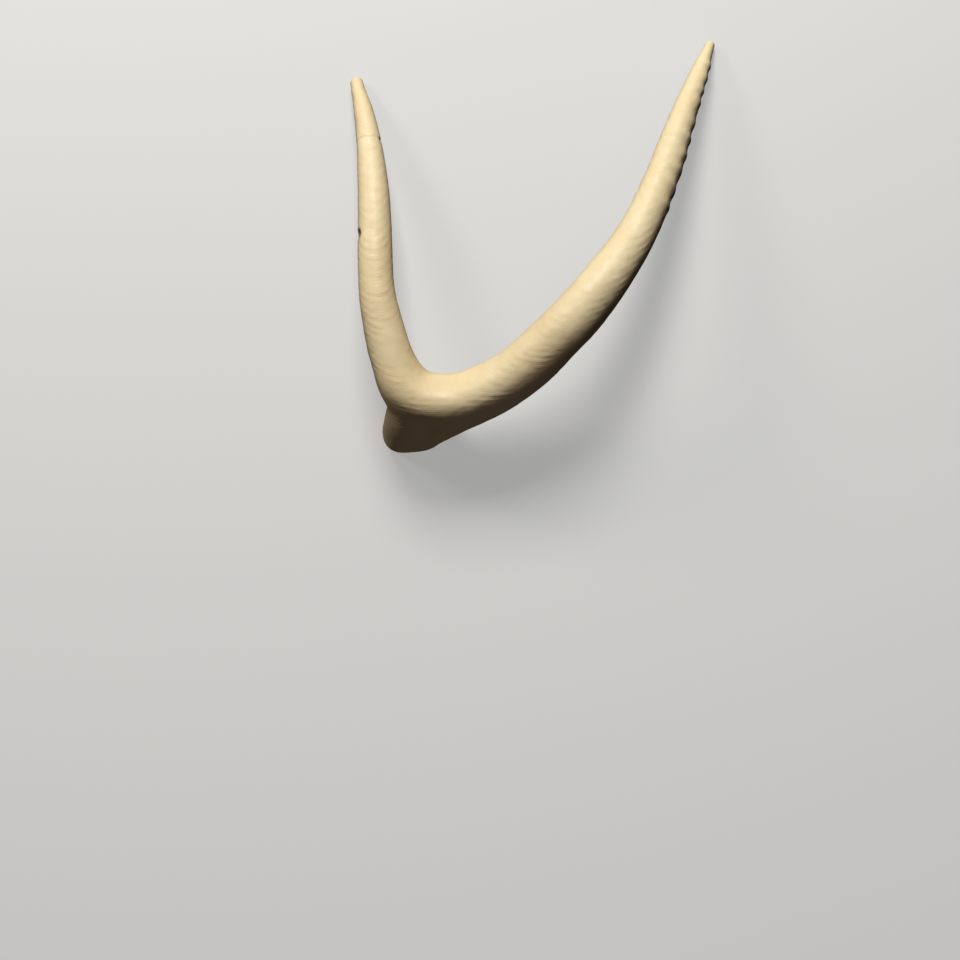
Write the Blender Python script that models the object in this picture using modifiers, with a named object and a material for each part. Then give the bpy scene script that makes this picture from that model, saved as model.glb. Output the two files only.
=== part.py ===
"""Replica axis deer antler with two arms on a short base, lying at rest.

The tine and the main beam are one tapering branch, bent round at the fork.
Two short roots, one to the beam and one to the tine, make the base.
It ends in a flat foot, where the antler was fixed, and lies on that and on its two tips.
All are joined, blended where they meet, trimmed flat at the foot,
and parted at the fork into base, tine and beam, which meet face to face.

Metres, Z up. X runs across the arms and Y along them, from the base to the tips.
The origin is the bottom centre of the whole. Every Z below is a height over the floor.
"""
import math

import bmesh
import bpy
import numpy as np
from mathutils import Vector

MM = 0.001
NAME = "axis_deer_antler"

# Where the middle of the fork stands, across and along, from the bottom centre
FORK_AT = (-36.7, -65.8)

# Stations down the middle of each arm, measured from the fork: across, along, height, radius
TINE = [
    (-35.9, 133.6, 2.44, 2.6),
    (-32.8, 121.1, 7.5, 3.8),
    (-28.8, 97.7, 15.5, 5.6),
    (-26.7, 68.1, 24.1, 6.7),
    (-25.1, 40.7, 28.6, 7.3),
    (-20.0, 19.0, 28.8, 8.5),
    (-11.3, 5.6, 28.4, 9.5),
]
FORK = [(0.8, 2.5, 28.4, 9.4)]
BEAM = [
    (13.8, 4.7, 30.0, 9.4),
    (33.8, 16.3, 36.0, 9.8),
    (57.5, 39.0, 39.6, 9.5),
    (75.6, 64.8, 31.8, 7.9),
    (91.2, 100.6, 20.1, 6.3),
    (100.1, 124.8, 12.1, 4.7),
    (107.8, 143.6, 4.3, 2.8),
    (110.2, 149.4, 1.74, 1.95),
]

# The base: from under its flat foot up into the root of the beam, and up into that of the tine
ROOTS = {
    "beam_root": [
        (-10.6, -9.1, -6.0, 10.8),
        (-9.5, -7.7, 0.0, 10.8),
        (-5.5, -4.9, 10.0, 11.5),
        (0.0, -3.2, 16.5, 11.0),
        (6.5, -1.6, 20.5, 10.0),
        (16.0, 2.1, 24.0, 9.8),
        (35.3, 14.6, 31.0, 9.2),
        (46.0, 26.0, 34.8, 7.4),
    ],
    "tine_root": [
        (-18.2, -12.2, -6.0, 8.7),
        (-16.7, -9.8, 0.0, 8.8),
        (-13.7, -5.8, 12.0, 9.9),
        (-13.5, -0.2, 20.2, 10.1),
        (-16.7, 7.8, 25.0, 9.5),
    ],
}

SIDES = 32  # round each branch
RING_STEP = 2.0  # between the rings of a branch
TIP_SQUASH = 0.75  # a tip's length beyond its last ring, as a share of its radius

BLEND_GRAIN = 1.22  # facet size while the joint is blended
BLEND_REACH = 12.0  # how far from the joint's crease the blend begins
BLEND_PASSES = 44
FACETS_KEPT = 0.25  # share of the facets left after blending

# Nick in the outer side of the tine
NICK_AT = (-33.9, 66.9, 25.0)
NICK_SIZE = (1.9, 2.7, 3.2)
NICK_TURN = -4.0  # degrees about the upright

# Parting of the fork
TINE_PART = 22.0  # along the branch, from the fork's middle
BEAM_PART = 17.0
PART_GAP = 0.3
PART_RADIUS = 21.0

# The foot's face lies on the floor
FOOT = (-13.0, -8.5, 0.0)
TRIM_RADIUS = 26.0
TRIM_DEPTH = 24.0

CREAM = (0.80, 0.66, 0.44, 1.0)
MATTE = 0.55  # roughness of the cream coat


def clear_scene():
    """Start from an empty scene."""
    for obj in list(bpy.data.objects):
        bpy.data.objects.remove(obj, do_unlink=True)


def collection(name, hidden=False):
    """A new collection in the scene."""
    made = bpy.data.collections.new(name)
    made.hide_render = hidden
    bpy.context.scene.collection.children.link(made)
    return made


def smooth_line(stations, step):
    """Even samples of the natural cubic spline through the stations."""
    values = np.array(stations, dtype=float)
    knots = np.concatenate([[0.0], np.cumsum(np.linalg.norm(np.diff(values[:, :3], axis=0), axis=1))])
    gaps = np.diff(knots)
    count = len(knots)
    system = np.eye(count)
    bends = np.zeros_like(values)
    for i in range(1, count - 1):
        system[i, i - 1:i + 2] = gaps[i - 1], 2.0 * (gaps[i - 1] + gaps[i]), gaps[i]
        bends[i] = 6.0 * (
            (values[i + 1] - values[i]) / gaps[i] - (values[i] - values[i - 1]) / gaps[i - 1]
        )
    bends = np.linalg.solve(system, bends)
    at = np.linspace(0.0, knots[-1], round(knots[-1] / step) + 1)
    i = np.clip(np.searchsorted(knots, at, side="right") - 1, 0, count - 2)
    gap = gaps[i][:, None]
    after = at[:, None] - knots[i][:, None]
    before = gap - after
    line = (bends[i] * before**3 + bends[i + 1] * after**3) / (6.0 * gap)
    line += (values[i] / gap - bends[i] * gap / 6.0) * before
    line += (values[i + 1] / gap - bends[i + 1] * gap / 6.0) * after
    return at, line


def mesh_object(name, mesh, group):
    """An object on a mesh, in a collection."""
    obj = bpy.data.objects.new(name, mesh)
    group.objects.link(obj)
    return obj


def cutter_object(name, mesh, group, centre):
    """A mesh that only cuts."""
    obj = mesh_object(name, mesh, group)
    obj.location = Vector(centre) * MM
    obj.display_type = "WIRE"
    obj.hide_render = True
    return obj


def applied(obj):
    """Fix an object's modifiers into its mesh."""
    bpy.context.view_layer.update()
    final = obj.evaluated_get(bpy.context.evaluated_depsgraph_get())
    mesh = bpy.data.meshes.new_from_object(final)
    obj.modifiers.clear()
    obj.data = mesh
    return obj


def branch(name, line, group):
    """A tapering round branch along a line of x, y, z, radius samples."""
    curve = bpy.data.curves.new(name, "CURVE")
    curve.dimensions = "3D"
    curve.bevel_depth = MM
    curve.bevel_resolution = SIDES // 4 - 2
    curve.use_fill_caps = True
    curve.resolution_u = 1
    spline = curve.splines.new("POLY")
    spline.points.add(len(line) - 1)
    for point, (x, y, z, radius) in zip(spline.points, line):
        point.co = (x * MM, y * MM, z * MM, 1.0)
        point.radius = radius
    guide = bpy.data.objects.new(name + "_line", curve)
    group.objects.link(guide)
    bpy.context.view_layer.update()
    mesh = bpy.data.meshes.new_from_object(
        guide.evaluated_get(bpy.context.evaluated_depsgraph_get())
    )
    welded = bmesh.new()
    welded.from_mesh(mesh)
    bmesh.ops.remove_doubles(welded, verts=welded.verts, dist=0.00001)
    bmesh.ops.recalc_face_normals(welded, faces=welded.faces)
    welded.to_mesh(mesh)
    welded.free()
    made = mesh_object(name, mesh, group)
    made.matrix_world = guide.matrix_world.copy()
    bpy.data.objects.remove(guide, do_unlink=True)
    return made


def rounded_tip(name, end, before, group):
    """A squashed ball that rounds off the end of a branch."""
    mesh = bpy.data.meshes.new(name)
    ball = bmesh.new()
    bmesh.ops.create_uvsphere(ball, u_segments=SIDES, v_segments=16, radius=end[3] * MM)
    bmesh.ops.scale(ball, vec=(1.0, 1.0, TIP_SQUASH), verts=ball.verts)
    ball.to_mesh(mesh)
    ball.free()
    tip = mesh_object(name, mesh, group)
    tip.location = Vector(end[:3]) * MM
    tip.rotation_mode = "QUATERNION"
    tip.rotation_quaternion = (Vector(end[:3]) - Vector(before[:3])).to_track_quat("Z", "Y")
    return tip


def disc(name, centre, direction, radius, thickness, group):
    """A round plate square to a direction, used to cut."""
    mesh = bpy.data.meshes.new(name)
    plate = bmesh.new()
    bmesh.ops.create_cone(
        plate,
        cap_ends=True,
        segments=48,
        radius1=radius * MM,
        radius2=radius * MM,
        depth=thickness * MM,
    )
    plate.to_mesh(mesh)
    plate.free()
    cutter = cutter_object(name, mesh, group, centre)
    cutter.rotation_mode = "QUATERNION"
    cutter.rotation_quaternion = Vector(direction).to_track_quat("Z", "Y")
    return cutter


def nick(name, group):
    """A small egg that cuts the nick out of the tine."""
    mesh = bpy.data.meshes.new(name)
    egg = bmesh.new()
    bmesh.ops.create_uvsphere(egg, u_segments=20, v_segments=12, radius=MM)
    bmesh.ops.scale(egg, vec=NICK_SIZE, verts=egg.verts)
    egg.to_mesh(mesh)
    egg.free()
    cutter = cutter_object(name, mesh, group, NICK_AT)
    cutter.rotation_euler.z = math.radians(NICK_TURN)
    return cutter


def boolean(body, operation, others):
    """Join a body with a collection of others, or cut it with them."""
    modifier = body.modifiers.new(operation.title(), "BOOLEAN")
    modifier.operation = operation
    modifier.operand_type = "COLLECTION"
    modifier.collection = others
    return applied(body)


def depth_in(points, line):
    """Each point's height over the skin of a branch, in millimetres."""
    apart = np.linalg.norm(points[:, None, :] - line[None, :, :3], axis=2)
    return (apart - line[None, :, 3]).min(axis=1)


def blend(body, arms, roots):
    """Even out the facets and soften the crease between the arms and the base."""
    remesh = body.modifiers.new("Remesh", "REMESH")
    remesh.mode = "VOXEL"
    remesh.voxel_size = BLEND_GRAIN * MM
    applied(body)
    points = np.empty(len(body.data.vertices) * 3)
    body.data.vertices.foreach_get("co", points)
    points = points.reshape(-1, 3) / MM
    over_arms = depth_in(points, arms)
    over_roots = depth_in(points, roots)
    crease = np.abs(over_arms - over_roots)
    crease[over_roots > BLEND_REACH] = np.inf
    soft = bmesh.new()
    soft.from_mesh(body.data)
    soft.verts.ensure_lookup_table()
    for step in range(BLEND_PASSES):
        reach = BLEND_REACH * (1.0 - 0.6 * step / BLEND_PASSES)
        near = [soft.verts[i] for i in np.flatnonzero(crease < reach)]
        bmesh.ops.smooth_vert(
            soft, verts=near, factor=0.5, use_axis_x=True, use_axis_y=True, use_axis_z=True
        )
    soft.to_mesh(body.data)
    soft.free()
    thin = body.modifiers.new("Decimate", "DECIMATE")
    thin.ratio = FACETS_KEPT
    return applied(body)


def closed_surfaces(mesh):
    """The sets of vertices that hang together, each with its vertex numbers."""
    shape = bmesh.new()
    shape.from_mesh(mesh)
    shape.verts.ensure_lookup_table()
    waiting = set(range(len(shape.verts)))
    found = []
    while waiting:
        reached = [waiting.pop()]
        surface = set(reached)
        while reached:
            vertex = shape.verts[reached.pop()]
            beside = {edge.other_vert(vertex).index for edge in vertex.link_edges} & waiting
            waiting -= beside
            surface |= beside
            reached.extend(beside)
        found.append(surface)
    shape.free()
    return sorted(found, key=len, reverse=True)


def piece(name, body, surface, material, group):
    """One closed surface of the body as its own object."""
    shape = bmesh.new()
    shape.from_mesh(body.data)
    shape.verts.ensure_lookup_table()
    others = [vertex for vertex in shape.verts if vertex.index not in surface]
    bmesh.ops.delete(shape, geom=others, context="VERTS")
    bmesh.ops.dissolve_degenerate(shape, edges=shape.edges, dist=0.000002)
    bmesh.ops.triangulate(shape, faces=shape.faces)
    mesh = bpy.data.meshes.new(name)
    shape.to_mesh(mesh)
    shape.free()
    mesh.shade_smooth()
    mesh.set_sharp_from_angle(angle=math.radians(40.0))
    mesh.materials.clear()
    mesh.materials.append(material)
    made = mesh_object(name, mesh, group)
    made.location = (FORK_AT[0] * MM, FORK_AT[1] * MM, 0.0)
    return made


def paint(name, colour, roughness):
    """A coat of paint."""
    material = bpy.data.materials.new(name)
    material.use_nodes = True
    shader = material.node_tree.nodes["Principled BSDF"]
    shader.inputs["Base Color"].default_value = colour
    shader.inputs["Roughness"].default_value = roughness
    shader.inputs["Metallic"].default_value = 0.0
    return material


def build():
    """The whole antler."""
    clear_scene()
    parts = collection(NAME)
    joined = collection(NAME + "_joined")
    cutters = collection(NAME + "_cutters", hidden=True)

    # The two branches
    along, arms = smooth_line(TINE + FORK + BEAM, RING_STEP)
    body = branch("antler", arms, parts)
    roots = []
    for name, stations in ROOTS.items():
        _, root = smooth_line(stations, RING_STEP)
        branch(name, root, joined)
        roots.append(root)
    rounded_tip("tine_tip", arms[0], arms[1], joined)
    rounded_tip("beam_tip", arms[-1], arms[-2], joined)
    boolean(body, "UNION", joined)
    for obj in list(joined.objects):
        bpy.data.objects.remove(obj, do_unlink=True)
    bpy.data.collections.remove(joined)
    blend(body, arms, np.concatenate(roots))

    # The flat foot, the nick and the two partings
    fork = np.argmin(np.linalg.norm(arms[:, :3] - np.array(FORK[0][:3]), axis=1))
    under = (*FOOT[:2], -TRIM_DEPTH / 2.0)
    disc("foot_trim", under, (0.0, 0.0, -1.0), TRIM_RADIUS, TRIM_DEPTH, cutters)
    nick("nick", cutters)
    for name, at in (("tine_parting", -TINE_PART), ("beam_parting", BEAM_PART)):
        i = np.argmin(np.abs(along - along[fork] - at))
        disc(name, arms[i, :3], arms[i + 1, :3] - arms[i - 1, :3], PART_RADIUS, PART_GAP, cutters)
    boolean(body, "DIFFERENCE", cutters)

    # The three closed pieces, told apart by where they lie
    surfaces = closed_surfaces(body.data)[:3]
    points = [
        np.mean([body.data.vertices[i].co for i in surface], axis=0) / MM for surface in surfaces
    ]
    homes = {
        "brow_tine": np.array(TINE[3][:3]),
        "main_beam": np.array(BEAM[3][:3]),
        "antler_base": np.array(FOOT),
    }
    cream = paint("cream_paint", CREAM, MATTE)
    for name, home in homes.items():
        nearest = min(range(3), key=lambda k: np.linalg.norm(points[k] - home))
        piece(name, body, surfaces[nearest], cream, parts)
    bpy.data.objects.remove(body, do_unlink=True)


build()
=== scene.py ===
"""A made axis deer antler in matte cream paint, lying on a pale table.

One skin covers the base, the tine and the main beam.
It is the surface where the distance to the swept limbs is nought, with soft creases between them,
carried out along its own normal by the ripples, grooves and slow waves that the real piece shows.

Lengths inside the antler's own classes are millimetres. Blender's scene is in metres.
"""
from __future__ import annotations

import logging
import math
from dataclasses import dataclass
from enum import Enum

import bpy
import numpy as np
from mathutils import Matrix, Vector


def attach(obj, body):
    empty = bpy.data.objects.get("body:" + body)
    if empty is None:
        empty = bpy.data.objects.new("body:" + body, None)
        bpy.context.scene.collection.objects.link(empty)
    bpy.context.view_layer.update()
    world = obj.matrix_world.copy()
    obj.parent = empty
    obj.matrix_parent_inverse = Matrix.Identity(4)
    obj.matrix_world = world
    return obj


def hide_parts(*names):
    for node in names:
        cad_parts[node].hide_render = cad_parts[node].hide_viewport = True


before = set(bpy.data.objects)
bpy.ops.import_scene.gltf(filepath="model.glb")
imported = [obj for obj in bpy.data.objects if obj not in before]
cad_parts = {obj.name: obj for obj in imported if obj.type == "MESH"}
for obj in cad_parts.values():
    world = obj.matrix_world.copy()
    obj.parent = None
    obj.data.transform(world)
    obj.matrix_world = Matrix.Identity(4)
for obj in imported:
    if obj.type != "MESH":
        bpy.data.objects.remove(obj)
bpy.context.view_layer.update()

MM = 0.001
LOG = logging.getLogger("antler")

Array = np.ndarray


def unit(vectors: Array) -> Array:
    """Vectors of length one along the last axis."""
    return vectors / np.linalg.norm(vectors, axis=-1, keepdims=True)


def smooth_step(start: float, stop: float, value: Array) -> Array:
    """A soft rise from 0 at start to 1 at stop: 3t squared less 2t cubed."""
    t = np.clip((value - start) / (stop - start), 0.0, 1.0)
    return t * t * (3.0 - 2.0 * t)


def bell(value: Array, middle: float, width: float) -> Array:
    """A bell curve of height 1: e to the power of minus the squared distance in widths."""
    return np.exp(-(((value - middle) / width) ** 2))


def soft_least(a: Array, b: Array, reach: float) -> Array:
    """The lesser of two distances, rounded where they differ by less than a reach.

    Args:
        a: distances to one shape.
        b: distances to the other.
        reach: the difference within which the crease is filled, by a quarter of it at most.

    Returns:
        The distances to the two shapes run together.
    """
    near = np.maximum(reach - np.abs(a - b), 0.0) / reach
    return np.minimum(a, b) - near * near * reach / 4.0


def soft_most(a: Array, b: Array, reach: float) -> Array:
    """The greater of two distances, rounded in the same way."""
    return -soft_least(-a, -b, reach)


@dataclass(frozen=True)
class Limb:
    """A round branch that tapers along a smooth line.

    Attributes:
        name: what the branch is called.
        stations: across, along, height and radius of points down its middle.
        blunt: length of a rounded end past the line's end, as a share of the end's radius.
        step: spacing of the samples down the line.
    """

    name: str
    stations: tuple[tuple[float, float, float, float], ...]
    blunt: float = 0.75
    step: float = 0.5

    def knots(self) -> Array:
        """Distance down the chords to each station."""
        places = np.array(self.stations)[:, :3]
        return np.concatenate([[0.0], np.cumsum(np.linalg.norm(np.diff(places, axis=0), axis=1))])

    def line(self) -> tuple[Array, Array]:
        """Even samples of the natural cubic spline through the stations.

        Returns:
            The distance down the line of each sample, and its x, y, z and radius.
        """
        values = np.array(self.stations, dtype=float)
        knots = self.knots()
        gaps = np.diff(knots)
        count = len(knots)
        inner = np.arange(1, count - 1)
        system = np.eye(count)
        system[inner, inner - 1] = gaps[:-1]
        system[inner, inner] = 2.0 * (gaps[:-1] + gaps[1:])
        system[inner, inner + 1] = gaps[1:]
        slopes = np.diff(values, axis=0) / gaps[:, None]
        bends = np.zeros_like(values)
        bends[1:-1] = 6.0 * np.diff(slopes, axis=0)
        bends = np.linalg.solve(system, bends)
        at = np.linspace(0.0, knots[-1], round(knots[-1] / self.step) + 1)
        i = np.clip(np.searchsorted(knots, at, side="right") - 1, 0, count - 2)
        gap = gaps[i][:, None]
        after = (at - knots[i])[:, None]
        before = gap - after
        line = (bends[i] * before**3 + bends[i + 1] * after**3) / (6.0 * gap)
        line += (values[i] / gap - bends[i] * gap / 6.0) * before
        line += (values[i + 1] / gap - bends[i + 1] * gap / 6.0) * after
        return at, line

    def shell(self, sides: int = 96) -> tuple[Array, Array]:
        """A closed surface round the branch, on a grid of (down the line, round it).

        The point at (u, v) is c(u) + r(u) (cos v N + sin v B), where N lies flat across the line
        and B stands square to both. Past each end c runs on by the sine of a quarter turn and r
        falls by its cosine, so the end is a squashed half ball closed at a pole.

        Args:
            sides: points round the branch.

        Returns:
            The points, and the four corners of each face. A pole's faces repeat a corner.
        """
        _, line = self.line()
        centre, radius = line[:, :3], line[:, 3]
        along = unit(np.gradient(centre, axis=0))
        turn = np.linspace(0.0, math.pi / 2.0, 10)[1:]
        out = self.blunt * np.sin(turn)[:, None]
        start = centre[0] - along[0] * radius[0] * out
        stop = centre[-1] + along[-1] * radius[-1] * out
        centre = np.concatenate([start[::-1], centre, stop])
        radius = np.concatenate([radius[0] * np.cos(turn)[::-1], radius, radius[-1] * np.cos(turn)])
        along = np.concatenate([np.repeat(along[:1], 9, 0), along, np.repeat(along[-1:], 9, 0)])
        flat = unit(np.cross([0.0, 0.0, 1.0], along))
        upright = np.cross(along, flat)
        v = np.linspace(0.0, 2.0 * math.pi, sides, endpoint=False)[None, :, None]
        ring = np.cos(v) * flat[:, None] + np.sin(v) * upright[:, None]
        points = centre[:, None] + radius[:, None, None] * ring
        return grid_surface(points)

    @staticmethod
    def nearest(points: Array, line: Array, stride: int = 12) -> Array:
        """Which sample's ball comes closest to each point: every twelfth first, then those about it.

        Args:
            points: x, y and z of each point.
            line: x, y, z and radius of each sample.
            stride: samples between those tried first.

        Returns:
            The number of the sample for each point.
        """
        coarse = np.arange(0, len(line), stride)
        about = np.arange(-stride, stride + 1)
        found = []
        for block in np.array_split(points, max(1, len(points) // 8000)):
            gaps = np.linalg.norm(block[:, None] - line[None, coarse, :3], axis=2)
            first = coarse[np.argmin(gaps - line[None, coarse, 3], axis=1)]
            tried = np.clip(first[:, None] + about, 0, len(line) - 1)
            gaps = np.linalg.norm(block[:, None] - line[tried, :3], axis=2) - line[tried, 3]
            found.append(tried[np.arange(len(block)), np.argmin(gaps, axis=1)])
        return np.concatenate(found)

    def over(self, points: Array) -> tuple[Array, Array]:
        """How far points stand off the branch, and how far down its line.

        The nearest sample is the one whose ball comes closest. From it the point is measured
        along and away from the line, and the radius follows the local taper.

        Args:
            points: x, y and z of each point.

        Returns:
            Signed distance to the surface, negative inside, and distance down the line.
        """
        at, line = self.line()
        centre, radius = line[:, :3], line[:, 3]
        along = unit(np.gradient(centre, axis=0))
        taper = np.gradient(radius, at)
        nearest = self.nearest(points, line)
        gap = points - centre[nearest]
        ahead = np.einsum("ij,ij->i", gap, along[nearest])
        away = np.linalg.norm(gap - ahead[:, None] * along[nearest], axis=1)
        beyond = np.where(nearest == 0, np.minimum(ahead, 0.0), 0.0)
        beyond += np.where(nearest == len(at) - 1, np.maximum(ahead, 0.0), 0.0)
        inside = ahead - beyond
        height = np.hypot(away, beyond / self.blunt) - radius[nearest] - taper[nearest] * inside
        return height, at[nearest] + ahead


def grid_surface(points: Array) -> tuple[Array, Array]:
    """The faces of a grid of rings whose first and last rings have shrunk to poles.

    Args:
        points: rings by points by xyz.

    Returns:
        The points in one list, with each pole once, and the corners of each face.
    """
    rings, sides, _ = points.shape
    poles = points[[0, -1]].mean(axis=1)
    flat = np.concatenate([poles[:1], points[1:-1].reshape(-1, 3), poles[1:]])
    last = len(flat) - 1
    number = 1 + np.arange((rings - 2) * sides).reshape(rings - 2, sides)
    number = np.concatenate([np.zeros((1, sides), int), number, np.full((1, sides), last)])
    here = number
    there = np.roll(number, -1, axis=1)
    corners = np.stack([here[:-1], there[:-1], there[1:], here[1:]], axis=-1).reshape(-1, 4)
    return flat, corners


def mesh_from(name: str, points: Array, corners: Array) -> bpy.types.Mesh:
    """A mesh from points in millimetres and the corners of its faces.

    Args:
        name: the mesh's name.
        points: x, y and z of each point.
        corners: four point numbers a face, where a pole's face repeats one.

    Returns:
        The mesh, in metres.
    """
    faces = [list(dict.fromkeys(face)) for face in corners.tolist()]
    mesh = bpy.data.meshes.new(name)
    mesh.from_pydata((points * MM).tolist(), [], faces)
    return mesh


@dataclass(frozen=True)
class Waves:
    """A smooth random field: the mean of plane waves in random directions.

    Attributes:
        length: wavelength in millimetres.
        seed: which field.
        count: how many waves.
    """

    length: float
    seed: int
    count: int = 28

    def at(self, points: Array) -> Array:
        """The field at each point, about -1 to 1: the scaled mean of sin(k . p + phase)."""
        source = np.random.default_rng(self.seed)
        direction = unit(source.normal(size=(self.count, 3)))
        pitch = self.length * source.uniform(0.7, 1.5, self.count)
        phase = source.uniform(0.0, 2.0 * math.pi, self.count)
        turns = points @ (direction * (2.0 * math.pi / pitch)[:, None]).T + phase
        return np.sin(turns).sum(axis=1) / math.sqrt(self.count)


@dataclass(frozen=True)
class Foot:
    """The level face that the base ends in.

    Attributes:
        height: of the face, over the floor.
        rim: reach over which its edge is rounded.
    """

    height: float = 0.0
    rim: float = 1.6

    def past(self, points: Array) -> Array:
        """How far points stand past the face: its height less theirs."""
        return self.height - points[:, 2]


@dataclass(frozen=True)
class Dent:
    """An egg-shaped hollow struck into the surface."""

    centre: tuple[float, float, float]
    size: tuple[float, float, float]

    def over(self, points: Array) -> Array:
        """Distance to the egg: its scaled radius less one, times its mean size."""
        scaled = (points - np.array(self.centre)) / np.array(self.size)
        return (np.linalg.norm(scaled, axis=1) - 1.0) * min(self.size)


class Finish(Enum):
    """The slots of the finishes."""

    CREAM = "cream_paint"


class Tree:
    """A material's node tree with short ways to grow it."""

    def __init__(self, name: str) -> None:
        """A new material whose tree holds a surface shader and an output."""
        self.material = bpy.data.materials.new(name)
        self.material.use_nodes = True
        self.nodes = self.material.node_tree.nodes
        self.links = self.material.node_tree.links
        self.shader = self.nodes["Principled BSDF"]

    def add(self, kind: str, inputs: dict | None = None, **settings: object) -> bpy.types.Node:
        """A node with its settings and inputs.

        Args:
            kind: the node's type.
            inputs: a value, or an output to link, for each named or numbered input.
            settings: properties of the node.

        Returns:
            The node.
        """
        node = self.nodes.new(kind)
        for key, value in settings.items():
            setattr(node, key, value)
        for key, value in (inputs or {}).items():
            if isinstance(value, bpy.types.NodeSocket):
                self.links.new(value, node.inputs[key])
            else:
                node.inputs[key].default_value = value
        return node

    def math(self, operation: str, *values: object) -> bpy.types.NodeSocket:
        """The result of a sum on one to three numbers or outputs."""
        node = self.add("ShaderNodeMath", dict(enumerate(values)), operation=operation)
        return node.outputs[0]

    def noise(self, place: bpy.types.NodeSocket, scale: float, detail: float = 3.0) -> bpy.types.NodeSocket:
        """Fractal noise between 0 and 1."""
        inputs = {"Vector": place, "Scale": scale, "Detail": detail}
        return self.add("ShaderNodeTexNoise", inputs).outputs["Fac"]

    def span(
        self, value: bpy.types.NodeSocket, low: float, high: float, to: tuple[float, float]
    ) -> bpy.types.NodeSocket:
        """A value carried from one range to another and held there."""
        inputs = {"Value": value, "From Min": low, "From Max": high, "To Min": to[0], "To Max": to[1]}
        return self.add("ShaderNodeMapRange", inputs).outputs["Result"]

    def mix(self, share: object, a: object, b: object) -> bpy.types.NodeSocket:
        """Two colours mixed by a share: none of it gives the first."""
        node = self.add("ShaderNodeMix", data_type="RGBA")
        for index, value in ((0, share), (6, a), (7, b)):
            if isinstance(value, bpy.types.NodeSocket):
                self.links.new(value, node.inputs[index])
            else:
                node.inputs[index].default_value = value
        return node.outputs[2]

    def attribute(self, name: str) -> bpy.types.NodeSocket:
        """A number held on the mesh's points."""
        return self.add("ShaderNodeAttribute", attribute_name=name).outputs["Fac"]


@dataclass(frozen=True)
class CreamPaint:
    """Matte cream paint over fine layer lines, a little uneven, with painted shade in its hollows and on
    its shaded sides.

    Attributes:
        cream: the paint where it is clean.
        tan_and_shade: in patches, and as painted shade on the sides that face down and towards the base,
            away from the key light.
        shade_brown: painted shade in the nicks and the groove, down the beam's hollow side and the tine's
            outer one.
        gloss: how much the paint mirrors.
        matte: roughness where the mottling is low, and where it is high.
        layer: spacing of the layer lines, in metres.
        ridge: spacing of the broken ridges among them, in metres.
        lean: degrees the layers lean from upright along the arms.
        relief: full height of a layer line, in metres.
        ridge_share: height of a ridge, in layer lines.
        grain_share: height of the paint's grain, in layer lines.
    """

    cream: tuple[float, float, float, float] = (0.79, 0.665, 0.42, 1.0)
    tan_and_shade: tuple[float, float, float, float] = (0.65, 0.475, 0.25, 1.0)
    shade_brown: tuple[float, float, float, float] = (0.07, 0.042, 0.025, 1.0)
    layer: float = 0.0008
    ridge: float = 0.0021
    lean: float = 45.0
    gloss: float = 0.22
    matte: tuple[float, float] = (0.40, 0.54)
    relief: float = 0.000018
    ridge_share: float = 4.2
    grain_share: float = 2.0

    def build(self) -> bpy.types.Material:
        """The finish as a material that reads the piece's own coordinates and attributes."""
        tree = Tree(Finish.CREAM.value)
        place = tree.add("ShaderNodeTexCoord").outputs["Object"]
        broad = tree.noise(place, 34.0, 2.0)
        mottle = tree.noise(place, 260.0, 4.0)
        lines, strength = self.layer_lines(tree, place, self.layer, 75.0)
        ridges, ridged = self.layer_lines(tree, place, self.ridge, 130.0)
        tint = tree.mix(tree.span(broad, 0.38, 0.68, (0.0, 0.38)), self.cream, self.tan_and_shade)
        tint = tree.mix(tree.span(mottle, 0.35, 0.75, (0.0, 0.30)), tint, self.tan_and_shade)
        faint = tree.math("MULTIPLY", tree.math("SUBTRACT", 1.0, lines), strength)
        tint = tree.mix(tree.math("MULTIPLY", faint, 0.14), tint, self.tan_and_shade)
        # Painted shade on the sides that face away from the key light.
        tint = tree.mix(tree.attribute("painted_shade_share"), tint, self.tan_and_shade)
        # Painted shade, dark, in the nicks and groove and along the shaded sides of beam and tine.
        tint = tree.mix(tree.attribute("hollow"), tint, self.shade_brown)
        tree.links.new(tint, tree.shader.inputs["Base Color"])
        rough = tree.span(mottle, 0.3, 0.7, self.matte)
        tree.links.new(rough, tree.shader.inputs["Roughness"])
        tree.shader.inputs["Specular IOR Level"].default_value = self.gloss
        grain = tree.noise(place, 700.0, 2.0)
        height = tree.math("MULTIPLY", lines, strength)
        broken = tree.math("MULTIPLY", ridges, ridged)
        height = tree.math("MULTIPLY_ADD", broken, self.ridge_share, height)
        height = tree.math("MULTIPLY_ADD", grain, self.grain_share, height)
        inputs = {"Height": height, "Strength": 1.0, "Distance": self.relief}
        bump = tree.add("ShaderNodeBump", inputs)
        tree.links.new(bump.outputs["Normal"], tree.shader.inputs["Normal"])
        return tree.material

    def layer_lines(
        self, tree: Tree, place: bpy.types.NodeSocket, spacing: float, patch: float
    ) -> tuple[bpy.types.NodeSocket, bpy.types.NodeSocket]:
        """Layer lines: the sine of the depth through the layers, and where they show.

        Args:
            tree: the tree to grow.
            place: the piece's own coordinates.
            spacing: from line to line, in metres.
            patch: scale of the noise that says where they show.

        Returns:
            The lines from 0 to 1, and how strongly they stand out.
        """
        lean = math.radians(self.lean)
        across = (0.0, math.cos(lean), math.sin(lean))
        depth = tree.add(
            "ShaderNodeVectorMath", {0: place, 1: across}, operation="DOT_PRODUCT"
        ).outputs["Value"]
        wander = tree.math("MULTIPLY", tree.noise(place, 60.0, 2.0), 0.0006)
        turns = tree.math("MULTIPLY", tree.math("ADD", depth, wander), 2.0 * math.pi / spacing)
        lines = tree.math("MULTIPLY_ADD", tree.math("SINE", turns), 0.5, 0.5)
        strength = tree.span(tree.noise(place, patch, 3.0), 0.46, 0.68, (0.06, 1.0))
        return lines, strength


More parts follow.
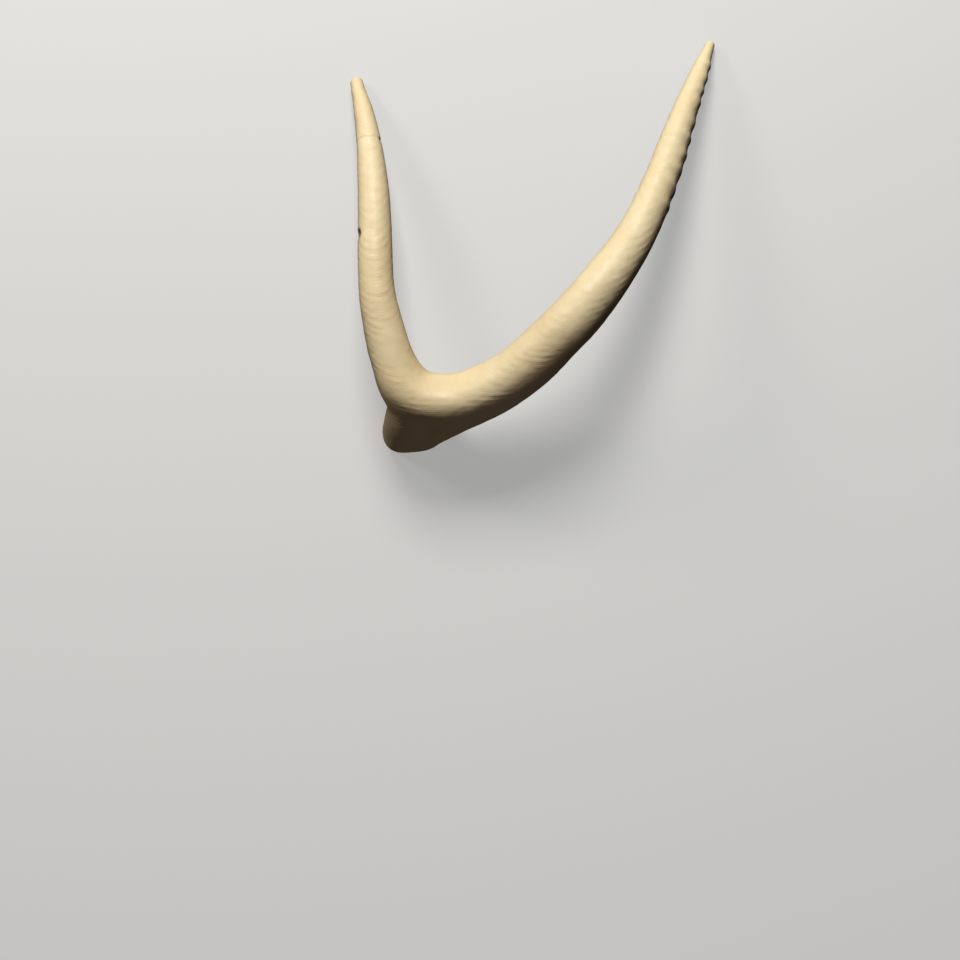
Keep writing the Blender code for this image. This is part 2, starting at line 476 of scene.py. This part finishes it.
@dataclass(frozen=True)
class Relief:
    """What stands off the plain form, in millimetres.

    Attributes:
        waves: each field of slow or fine waves that runs over everything, with its height.
        crests: distance of each ripple's crest from the beam's tip.
        ripple_width: of a ripple, along the beam.
        ripple_low: height of a ripple all round the beam.
        ripple_high: what it gains on the hollow side.
        sink: how far the hollow side is let in between ripples.
        groove_at: distance of the tine's groove from its tip.
        groove_width: of the groove.
        groove_depth: of the groove.
        hollow_way: the direction that the beam's hollow side faces.
        outer_way: the direction that the tine's outer side faces.
        shaded_way: the direction towards the key light; the sides that face away from it get painted shade.
    """

    waves: tuple[tuple[Waves, float], ...] = (
        (Waves(17.0, 3), 0.10),
        (Waves(5.5, 8), 0.035),
        (Waves(2.4, 21), 0.012),
    )
    crests: tuple[float, ...] = (11.0, 18.0, 24.0, 31.0, 40.0, 48.5, 57.0, 63.5, 71.5, 80.0)
    ripple_width: float = 2.1
    ripple_low: float = 0.07
    ripple_high: float = 0.42
    sink: float = 0.16
    groove_at: float = 29.6
    groove_width: float = 0.45
    groove_depth: float = 0.11
    hollow_way: tuple[float, float, float] = (0.92, -0.36, -0.25)
    outer_way: tuple[float, float, float] = (-0.95, -0.05, -0.3)
    shaded_way: tuple[float, float, float] = (-0.12, 0.74, 0.66)


@dataclass
class Antler:
    """The whole antler as one skin.

    Attributes:
        fork_at: where the fork's middle stands, from the origin.
        grain: facet size of the skin.
        fork_station: which station of the arms is the fork's middle.
        settling: how often the rough body's points are drawn on to the form.
        root_reach: reach of the crease between the two roots.
        bend_reach: reach of the crease between arms and crook.
        body_reach: reach of the crease between bend and roots.
        nick_rim: reach over which a nick's edge is rounded.
        foot: the flat face.
        nicks: the hollow in the tine's outer side, and a small one at the end of its groove.
        marks: ripples, waves and groove.
        arms: the branch that runs from the tine's tip round the fork to the beam's tip.
        crook: a branch behind it that fills the inner side of the bend.
        roots: the branches from below the foot into the beam and into the tine.
    """

    fork_at: tuple[float, float, float] = (-36.7, -65.8, 0.0)
    grain: float = 0.54
    fork_station: int = 7
    settling: int = 3
    root_reach: float = 4.0
    bend_reach: float = 2.5
    body_reach: float = 5.0
    nick_rim: float = 0.6
    foot: Foot = Foot()
    nicks: tuple[Dent, ...] = (
        Dent((-34.8, 66.7, 27.0), (2.9, 2.7, 3.6)),
        Dent((-25.0, 107.3, 13.0), (0.9, 0.8, 1.8)),
    )
    marks: Relief = Relief()
    arms: Limb = Limb(
        "arms",
        (
            (-35.9, 133.6, 2.49, 2.6),
            (-32.8, 121.1, 7.5, 3.8),
            (-28.8, 97.7, 15.5, 5.6),
            (-26.7, 68.1, 24.1, 6.7),
            (-25.1, 40.7, 28.6, 7.3),
            (-20.0, 19.0, 28.8, 8.5),
            (-12.5, 3.6, 29.2, 8.6),
            (0.5, -0.4, 29.8, 8.1),
            (14.2, 2.7, 31.2, 8.3),
            (34.5, 15.4, 36.0, 9.0),
            (57.5, 39.0, 39.6, 9.5),
            (75.6, 64.8, 31.8, 7.9),
            (91.2, 100.6, 20.1, 6.3),
            (100.1, 124.8, 12.1, 4.7),
            (107.8, 143.6, 4.3, 2.8),
            (110.2, 149.4, 1.81, 1.95),
        ),
    )
    crook: Limb = Limb(
        "crook",
        (
            (-21.5, 22.0, 27.5, 6.5),
            (-15.6, 12.2, 26.8, 7.2),
            (-9.6, 6.0, 26.4, 7.6),
            (0.8, 3.9, 26.4, 7.8),
            (12.5, 6.0, 27.9, 7.7),
            (26.0, 12.3, 31.0, 7.7),
            (38.0, 21.3, 34.5, 8.1),
            (53.0, 35.5, 37.5, 7.6),
        ),
    )
    roots: tuple[Limb, Limb] = (
        Limb(
            "beam_root",
            (
                (-10.6, -9.1, -6.0, 10.8),
                (-9.5, -7.7, 0.0, 10.7),
                (-5.5, -4.9, 10.0, 11.3),
                (0.0, -3.2, 16.5, 10.7),
                (6.5, -1.6, 20.5, 9.6),
                (16.0, 2.1, 24.0, 9.1),
                (35.3, 14.6, 31.0, 8.2),
                (50.0, 30.5, 36.0, 6.5),
            ),
        ),
        Limb(
            "tine_root",
            (
                (-18.2, -12.2, -6.0, 8.7),
                (-16.7, -9.8, 0.0, 8.8),
                (-14.0, -5.4, 12.0, 9.5),
                (-12.6, 0.4, 20.5, 9.6),
                (-15.8, 7.8, 25.0, 8.0),
                (-18.5, 16.0, 26.5, 5.0),
            ),
        ),
    )

    def form(self, points: Array) -> Array:
        """Signed distance to the plain antler: limbs run together, trimmed at the foot, nicked.

        Args:
            points: x, y and z, from the fork.

        Returns:
            Distances, negative inside.
        """
        to_beam, to_tine = self.roots
        roots = soft_least(to_beam.over(points)[0], to_tine.over(points)[0], self.root_reach)
        arms, crook = self.arms.over(points)[0], self.crook.over(points)[0]
        body = soft_least(soft_least(arms, crook, self.bend_reach), roots, self.body_reach)
        body = soft_most(body, self.foot.past(points), self.foot.rim)
        for nick in self.nicks:
            body = soft_most(body, -nick.over(points), self.nick_rim)
        return body

    def outward(self, points: Array, gap: float = 0.05) -> tuple[Array, Array]:
        """The form's distance and its slope, from differences over a small gap.

        Args:
            points: x, y and z, from the fork.
            gap: length of each difference.

        Returns:
            Distances, and the direction in which they grow, of length one.
        """
        here = self.form(points)
        steps = gap * np.eye(3)
        slope = np.stack([self.form(points + step) - here for step in steps], axis=1)
        return here, unit(slope)

    def rough_body(self) -> tuple[Array, Array]:
        """The limbs' shells joined into one even mesh.

        Returns:
            Its points in millimetres from the fork, and the corners of its faces.
        """
        shells = [limb.shell() for limb in (self.arms, self.crook, *self.roots)]
        counts = np.cumsum([0] + [len(points) for points, _ in shells])
        points = np.concatenate([points for points, _ in shells])
        corners = np.concatenate(
            [faces + start for (_, faces), start in zip(shells, counts[:-1])]
        )
        rough = bpy.data.objects.new("rough_body", mesh_from("rough_body", points, corners))
        bpy.context.scene.collection.objects.link(rough)
        even = rough.modifiers.new("Even", "REMESH")
        even.mode = "VOXEL"
        even.voxel_size = self.grain * MM
        bpy.context.view_layer.update()
        seen = rough.evaluated_get(bpy.context.evaluated_depsgraph_get())
        mesh = bpy.data.meshes.new_from_object(seen)
        points = np.empty(len(mesh.vertices) * 3)
        mesh.vertices.foreach_get("co", points)
        corners = np.empty(len(mesh.loops), dtype=np.int32)
        mesh.loops.foreach_get("vertex_index", corners)
        bpy.data.objects.remove(rough, do_unlink=True)
        bpy.data.meshes.remove(mesh)
        return points.reshape(-1, 3) / MM, corners.reshape(-1, 4)

    def relief(self, points: Array, normals: Array) -> tuple[Array, Array]:
        """How far the surface stands off the plain form, and where painted shade goes.

        Ripples ring the outer half of the beam and are strongest on its hollow side: each is a
        bell along the beam. Slow waves run over everything, and a faint groove rings the tine.
        Painted shade, dark, lies in the nicks and groove, down the beam's hollow side and the tine's outer
        one.

        Args:
            points: on the plain form.
            normals: outward there.

        Returns:
            Heights in millimetres, and shares of painted shade from 0 to 1.
        """
        _, down = self.arms.over(points)
        fork = self.arms.knots()[self.fork_station]
        length = self.arms.knots()[-1]
        from_fork = down - fork
        from_tip = length - down
        marks = self.marks
        fields = [waves.at(points) for waves, _ in marks.waves]
        slow, fine, _ = fields
        height = sum(share * field for (_, share), field in zip(marks.waves, fields))
        hollow_side = smooth_step(-0.2, 0.85, normals @ unit(np.array(marks.hollow_way)))
        slant = from_tip + 1.1 * slow + 2.0 * (normals @ np.array([-0.36, -0.92, 0.0]))
        on_beam = smooth_step(60.0, 100.0, from_fork)
        rise = on_beam * (marks.ripple_low + marks.ripple_high * hollow_side)
        for crest in marks.crests:
            height += rise * bell(slant, crest, marks.ripple_width)
        height -= on_beam * marks.sink * hollow_side
        groove = bell(down, marks.groove_at + 0.6 * slow, marks.groove_width)
        groove *= smooth_step(-0.5, 0.3, normals[:, 2] + 0.3 * fine)
        height -= marks.groove_depth * groove
        height *= smooth_step(-0.6, -2.6, self.foot.past(points))
        nearest_nick = np.min([nick.over(points) for nick in self.nicks], axis=0)
        # Painted shade: dark in the nicks and the groove, down the beam's hollow side and along the tine's
        # outer side.
        shade_brown = 0.50 * smooth_step(1.2, 0.0, nearest_nick) + 0.14 * groove
        shade_brown += 0.45 * smooth_step(20.0, 60.0, from_fork) * smooth_step(0.62, 0.97, hollow_side)
        outer_side = normals @ unit(np.array(marks.outer_way))
        shade_brown += 0.40 * smooth_step(-20.0, -50.0, from_fork) * smooth_step(0.70, 0.97, outer_side)
        return height, np.clip(shade_brown, 0.0, 1.0)

    def build(self, finish: bpy.types.Material) -> bpy.types.Object:
        """The finished skin.

        Args:
            finish: the paint.

        Returns:
            The object, at the origin.
        """
        points, corners = self.rough_body()
        for _ in range(self.settling):
            height, normals = self.outward(points)
            points = points - height[:, None] * normals
        _, normals = self.outward(points)
        height, shade_brown = self.relief(points, normals)
        # Painted shade: a share that rises on the sides facing away from the key light.
        painted_shade_share = smooth_step(0.75, -0.35, normals @ unit(np.array(self.marks.shaded_way)))
        points = points + height[:, None] * normals + np.array(self.fork_at)
        mesh = mesh_from("antler_skin", points, corners)
        # Both attributes hold painted shade: dark in the hollows and on the shaded sides, and a share on
        # the sides that face away from the key light.
        for name, share in (("hollow", shade_brown), ("painted_shade_share", 0.7 * painted_shade_share)):
            mesh.attributes.new(name, "FLOAT", "POINT").data.foreach_set("value", share)
        mesh.shade_smooth()
        mesh.materials.append(finish)
        skin = bpy.data.objects.new("antler_skin", mesh)
        bpy.context.scene.collection.objects.link(skin)
        LOG.info("antler skin: %d points, %d faces", len(points), len(corners))
        return skin


@dataclass(frozen=True)
class SoftBox:
    """A square soft light that looks at a spot."""

    name: str
    place: tuple[float, float, float]
    aim: tuple[float, float, float]
    size: float
    power: float
    colour: tuple[float, float, float] = (1.0, 1.0, 1.0)

    def build(self) -> bpy.types.Object:
        """The lamp in the scene."""
        lamp = bpy.data.lights.new(self.name, "AREA")
        lamp.shape = "SQUARE"
        lamp.size = self.size
        lamp.energy = self.power
        lamp.color = self.colour
        light = bpy.data.objects.new(self.name, lamp)
        light.location = self.place
        light.rotation_mode = "QUATERNION"
        look = Vector(self.aim) - Vector(self.place)
        light.rotation_quaternion = look.to_track_quat("-Z", "Y")
        bpy.context.scene.collection.objects.link(light)
        LOG.info("light %s: %.2f W", self.name, self.power)
        return light


@dataclass(frozen=True)
class Cove:
    """A pale table top that rises to a wall all round.

    It throws no light back on to the antler, so that the antler's underside stays dark.

    Attributes:
        flat: radius of the level part.
        rise: radius of the quarter turn from table to wall.
        wall: height of the wall above it.
        colour: of the whole.
        glow: light it sends to the camera of its own, which thins the shadows on it.
    """

    flat: float = 1.6
    rise: float = 0.8
    wall: float = 1.6
    colour: tuple[float, float, float, float] = (0.36, 0.36, 0.354, 1.0)
    glow: float = 1.0

    def profile(self) -> Array:
        """Radius and height from the middle out: level, a quarter turn, then straight up."""
        turn = np.linspace(0.0, math.pi / 2.0, 24)
        bend = np.stack([self.flat + self.rise * np.sin(turn), self.rise * (1 - np.cos(turn))], 1)
        top = [[self.flat + self.rise, self.rise + self.wall]]
        return np.concatenate([[[0.0, 0.0]], bend, top])

    def build(self) -> bpy.types.Object:
        """The cove: the profile (r, h) turned about the upright axis, (r cos v, r sin v, h)."""
        outline = self.profile()
        v = np.linspace(0.0, 2.0 * math.pi, 96, endpoint=False)[None, :]
        radius, height = outline[:, :1], np.repeat(outline[:, 1:], 96, axis=1)
        rings = np.stack([radius * np.cos(v), radius * np.sin(v), height], axis=-1)
        middle, rings = rings[0, :1], rings[1:]
        points = np.concatenate([middle, rings.reshape(-1, 3)])
        number = 1 + np.arange(rings.shape[0] * 96).reshape(rings.shape[0], 96)
        number = np.concatenate([np.zeros((1, 96), int), number])
        there = np.roll(number, -1, axis=1)
        corners = np.stack([number[:-1], number[1:], there[1:], there[:-1]], axis=-1)
        mesh = mesh_from("cove", points / MM, corners.reshape(-1, 4))
        mesh.shade_smooth()
        cove = bpy.data.objects.new("cove", mesh)
        tree = Tree("cove_paper")
        tree.shader.inputs["Base Color"].default_value = self.colour
        tree.shader.inputs["Roughness"].default_value = 0.9
        tree.shader.inputs["Emission Color"].default_value = self.colour
        tree.shader.inputs["Emission Strength"].default_value = self.glow
        mesh.materials.append(tree.material)
        cove.visible_diffuse = False
        cove.visible_glossy = False
        bpy.context.scene.collection.objects.link(cove)
        return cove


@dataclass(frozen=True)
class Studio:
    """A pale cove, its lights and the camera over it.

    Attributes:
        cove: the table and wall.
        camera_at: across, along and height of the camera, which looks straight down.
        lens: focal length in millimetres, on a sensor 36 mm wide.
        sky: brightness of the room.
        lights: the lamps.
    """

    cove: Cove = Cove()
    camera_at: tuple[float, float, float] = (-0.02169, -0.09614, 0.553)
    lens: float = 50.0
    sky: float = 0.015
    lights: tuple[SoftBox, ...] = (
        SoftBox("key", (-0.10, 0.76, 0.70), (0.0, 0.0, 0.02), 0.36, 12.0, (1.0, 0.985, 0.955)),
        SoftBox("side", (-0.76, 0.58, 0.48), (0.0, 0.0, 0.02), 0.22, 3.0, (1.0, 0.96, 0.92)),
        SoftBox("below", (0.08, -0.90, 0.14), (0.0, 0.0, 0.0), 0.30, 0.37, (1.0, 0.80, 0.80)),
    )

    def camera(self) -> bpy.types.Object:
        """The camera that looks straight down, with the picture's top along +Y."""
        view = bpy.data.cameras.new("camera")
        view.lens = self.lens
        view.sensor_width = 36.0
        view.clip_start = 0.01
        camera = bpy.data.objects.new("camera", view)
        camera.location = self.camera_at
        bpy.context.scene.collection.objects.link(camera)
        bpy.context.scene.camera = camera
        return camera

    def build(self) -> None:
        """The whole studio."""
        self.cove.build()
        self.camera()
        for light in self.lights:
            light.build()
        world = bpy.data.worlds.new("room")
        world.use_nodes = True
        world.node_tree.nodes["Background"].inputs["Color"].default_value = (0.9, 0.95, 1.0, 1.0)
        world.node_tree.nodes["Background"].inputs["Strength"].default_value = self.sky
        bpy.context.scene.world = world
        bpy.context.scene.view_settings.view_transform = "Standard"
        LOG.info("studio: %d lights", len(self.lights))


def main() -> None:
    """Build the antler and its studio."""
    logging.basicConfig(level=logging.INFO, format="%(message)s")
    skin = Antler().build(CreamPaint().build())
    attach(skin, "root")
    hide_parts("antler_base", "brow_tine", "main_beam")
    Studio().build()


if __name__ == "__main__":
    main()
